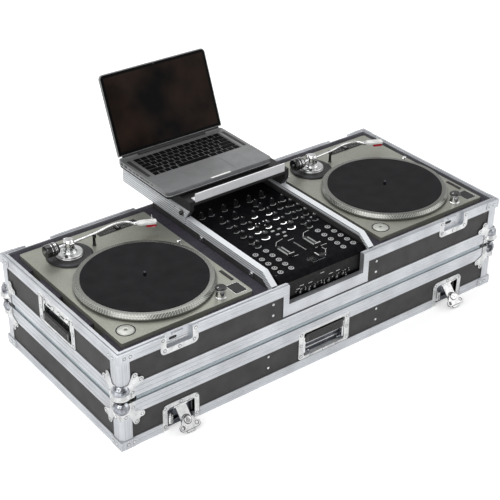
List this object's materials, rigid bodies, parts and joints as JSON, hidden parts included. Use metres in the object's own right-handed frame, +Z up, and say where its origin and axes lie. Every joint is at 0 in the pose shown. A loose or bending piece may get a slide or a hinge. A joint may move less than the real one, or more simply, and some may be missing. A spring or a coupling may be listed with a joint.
{
  "type": "dj coffin case",
  "caption": "Open road case for two turntables and a mixer, standing on its own lid, with a gliding laptop shelf.",
  "frame": {"origin": "middle of the bounding box on the floor", "axes": "+X along the long side to the right as seen from the mixer front, +Y from front to back, +Z up"},
  "size_m": [1.182, 0.7205, 0.5603],
  "materials": {
    "laminate": "dark grey laminate over plywood",
    "edging": "satin, fine ridges",
    "fitting_steel": "bright zinc plate",
    "bright_chrome": "polished",
    "grip_rubber": "matte",
    "foam": "open-cell foam",
    "shelf_laminate": "black laminate",
    "mixer_shell": "fine texture",
    "fader_plastic": "matte",
    "deck_shell": "metallic satin",
    "platter_aluminium": "machined",
    "felt": "felt",
    "laptop_shell": "satin"
  },
  "bodies": {
    "lid": {"lid_top_panel": "laminate", "lid_wall_frame": "laminate", "lid_edge_frame": "edging", "lid_ball_corner_front_left": "fitting_steel", "lid_ball_corner_front_right": "fitting_steel", "lid_ball_corner_rear_left": "fitting_steel", "lid_ball_corner_rear_right": "fitting_steel", "lid_foam": "foam", "lid_handle_dish": "fitting_steel", "latch_dish_front_left": "fitting_steel", "latch_dish_front_right": "fitting_steel"},
    "lid_handle": {"lid_handle_bail": "fitting_steel", "lid_handle_grip": "grip_rubber"},
    "hasp_front_left": {"latch_hasp_front_left": "fitting_steel"},
    "hasp_front_right": {"latch_hasp_front_right": "fitting_steel"},
    "key_front_left": {"latch_key_front_left": "bright_chrome"},
    "key_front_right": {"latch_key_front_right": "bright_chrome"},
    "latch_rear_outer_left": {"latch_rear_outer_left": "fitting_steel"},
    "latch_rear_inner_left": {"latch_rear_inner_left": "fitting_steel"},
    "latch_rear_inner_right": {"latch_rear_inner_right": "fitting_steel"},
    "latch_rear_outer_right": {"latch_rear_outer_right": "fitting_steel"},
    "base": {"base_floor_panel": "laminate", "base_wall_frame": "laminate", "base_edge_frame": "edging", "base_ball_corner_front_left": "fitting_steel", "base_ball_corner_front_right": "fitting_steel", "base_ball_corner_rear_left": "fitting_steel", "base_ball_corner_rear_right": "fitting_steel", "side_handle_dish_left": "fitting_steel", "side_handle_dish_right": "fitting_steel", "bay_wall_left": "laminate", "bay_wall_right": "laminate", "glide_rail_left": "edging", "glide_rail_right": "edging", "deck_foam_left": "foam", "deck_foam_right": "foam", "mixer_foam": "foam", "mixer_body": "mixer_shell"},
    "side_handle_left": {"side_handle_bail_left": "fitting_steel", "side_handle_grip_left": "grip_rubber"},
    "side_handle_right": {"side_handle_bail_right": "fitting_steel", "side_handle_grip_right": "grip_rubber"},
    "crossfader": {"mixer_crossfader": "fader_plastic"},
    "fader_left": {"mixer_fader_left": "fader_plastic"},
    "fader_right": {"mixer_fader_right": "fader_plastic"},
    "glide": {"glide_shelf": "shelf_laminate", "glide_runner_left": "edging", "glide_runner_right": "edging"},
    "laptop": {"laptop_base": "laptop_shell"},
    "display": {"laptop_display": "laptop_shell"},
    "deck_left": {"deck_plinth_left": "deck_shell"},
    "platter_left": {"deck_platter_left": "platter_aluminium", "deck_slipmat_left": "felt"},
    "tonearm_left": {"deck_tonearm_left": "bright_chrome"},
    "start_left": {"deck_start_button_left": "deck_shell"},
    "deck_right": {"deck_plinth_right": "deck_shell"},
    "platter_right": {"deck_platter_right": "platter_aluminium", "deck_slipmat_right": "felt"},
    "tonearm_right": {"deck_tonearm_right": "bright_chrome"},
    "start_right": {"deck_start_button_right": "deck_shell"}
  },
  "joints": [
    {"name": "base_lift", "type": "slide", "parent": "lid", "child": "base", "axis": [0, 0, 1], "range_m": [0, 0.3]},
    {"name": "lid_handle_swing", "type": "hinge", "parent": "lid", "child": "lid_handle", "pos_m": [0, -0.31374, 0.0415], "axis": [1, 0, 0], "range_deg": [0, 90], "stiffness_Nm_per_rad": 0.3, "springref_deg": -28.65},
    {"name": "side_handle_left_swing", "type": "hinge", "parent": "base", "child": "side_handle_left", "pos_m": [-0.5759, -0.05934, 0.23], "axis": [0, 1, 0], "range_deg": [0, 90], "stiffness_Nm_per_rad": 0.3, "springref_deg": -28.65},
    {"name": "side_handle_right_swing", "type": "hinge", "parent": "base", "child": "side_handle_right", "pos_m": [0.5759, -0.05934, 0.23], "axis": [0, -1, 0], "range_deg": [0, 90], "stiffness_Nm_per_rad": 0.3, "springref_deg": -28.65},
    {"name": "hasp_front_left_swing", "type": "hinge", "parent": "lid", "child": "hasp_front_left", "pos_m": [-0.422, -0.31444, 0.053], "axis": [-1, 0, 0], "range_deg": [-42, 60], "stiffness_Nm_per_rad": 0.4, "springref_deg": 2.29},
    {"name": "key_front_left_turn", "type": "hinge", "parent": "hasp_front_left", "child": "key_front_left", "pos_m": [-0.422, -0.33987, 0.02476], "axis": [0, -0.7431, 0.6691], "range_deg": [0, 180]},
    {"name": "hasp_front_right_swing", "type": "hinge", "parent": "lid", "child": "hasp_front_right", "pos_m": [0.422, -0.31444, 0.053], "axis": [-1, 0, 0], "range_deg": [-42, 60], "stiffness_Nm_per_rad": 0.4, "springref_deg": 2.29},
    {"name": "key_front_right_turn", "type": "hinge", "parent": "hasp_front_right", "child": "key_front_right", "pos_m": [0.422, -0.33987, 0.02476], "axis": [0, -0.7431, 0.6691], "range_deg": [0, 180]},
    {"name": "latch_rear_outer_left_swing", "type": "hinge", "parent": "lid", "child": "latch_rear_outer_left", "pos_m": [-0.482, 0.19576, 0.053], "axis": [1, 0, 0], "range_deg": [-42, 60], "stiffness_Nm_per_rad": 0.4, "springref_deg": 2.29},
    {"name": "latch_rear_inner_left_swing", "type": "hinge", "parent": "lid", "child": "latch_rear_inner_left", "pos_m": [-0.17, 0.19576, 0.053], "axis": [1, 0, 0], "range_deg": [-42, 60], "stiffness_Nm_per_rad": 0.4, "springref_deg": 2.29},
    {"name": "latch_rear_inner_right_swing", "type": "hinge", "parent": "lid", "child": "latch_rear_inner_right", "pos_m": [0.17, 0.19576, 0.053], "axis": [1, 0, 0], "range_deg": [-42, 60], "stiffness_Nm_per_rad": 0.4, "springref_deg": 2.29},
    {"name": "latch_rear_outer_right_swing", "type": "hinge", "parent": "lid", "child": "latch_rear_outer_right", "pos_m": [0.482, 0.19576, 0.053], "axis": [1, 0, 0], "range_deg": [-42, 60], "stiffness_Nm_per_rad": 0.4, "springref_deg": 2.29},
    {"name": "glide_slide", "type": "slide", "parent": "base", "child": "glide", "axis": [0, -1, 0], "range_m": [0, 0.28]},
    {"name": "laptop_lift", "type": "slide", "parent": "glide", "child": "laptop", "axis": [0, 0, 1], "range_m": [0, 0.2]},
    {"name": "display_hinge", "type": "hinge", "parent": "laptop", "child": "display", "pos_m": [-0.033, 0.27416, 0.3581], "axis": [1, 0, 0], "range_deg": [-20, 112]},
    {"name": "crossfader_slide", "type": "slide", "parent": "base", "child": "crossfader", "axis": [1, 0, 0], "range_m": [-0.022, 0.022]},
    {"name": "fader_left_slide", "type": "slide", "parent": "base", "child": "fader_left", "axis": [0, 1, 0], "range_m": [0, 0.044]},
    {"name": "fader_right_slide", "type": "slide", "parent": "base", "child": "fader_right", "axis": [0, 1, 0], "range_m": [0, 0.044]},
    {"name": "deck_left_lift", "type": "slide", "parent": "base", "child": "deck_left", "axis": [0, 0, 1], "range_m": [0, 0.15]},
    {"name": "platter_left_spin", "type": "hinge", "parent": "deck_left", "child": "platter_left", "pos_m": [-0.3735, -0.11004, 0.2582], "axis": [0, 0, 1], "continuous": true},
    {"name": "tonearm_left_swing", "type": "hinge", "parent": "deck_left", "child": "tonearm_left", "pos_m": [-0.4555, 0.08996, 0.29], "axis": [0, 0, -1], "range_deg": [0, 44]},
    {"name": "start_left_press", "type": "slide", "parent": "deck_left", "child": "start_left", "axis": [0, 0, -1], "range_m": [0, 0.002], "stiffness_N_per_m": 800, "springref_m": -0.001},
    {"name": "deck_right_lift", "type": "slide", "parent": "base", "child": "deck_right", "axis": [0, 0, 1], "range_m": [0, 0.15]},
    {"name": "platter_right_spin", "type": "hinge", "parent": "deck_right", "child": "platter_right", "pos_m": [0.3735, -0.11004, 0.2582], "axis": [0, 0, 1], "continuous": true},
    {"name": "tonearm_right_swing", "type": "hinge", "parent": "deck_right", "child": "tonearm_right", "pos_m": [0.2915, 0.08996, 0.29], "axis": [0, 0, -1], "range_deg": [0, 44]},
    {"name": "start_right_press", "type": "slide", "parent": "deck_right", "child": "start_right", "axis": [0, 0, -1], "range_m": [0, 0.002], "stiffness_N_per_m": 800, "springref_m": -0.001}
  ]
}
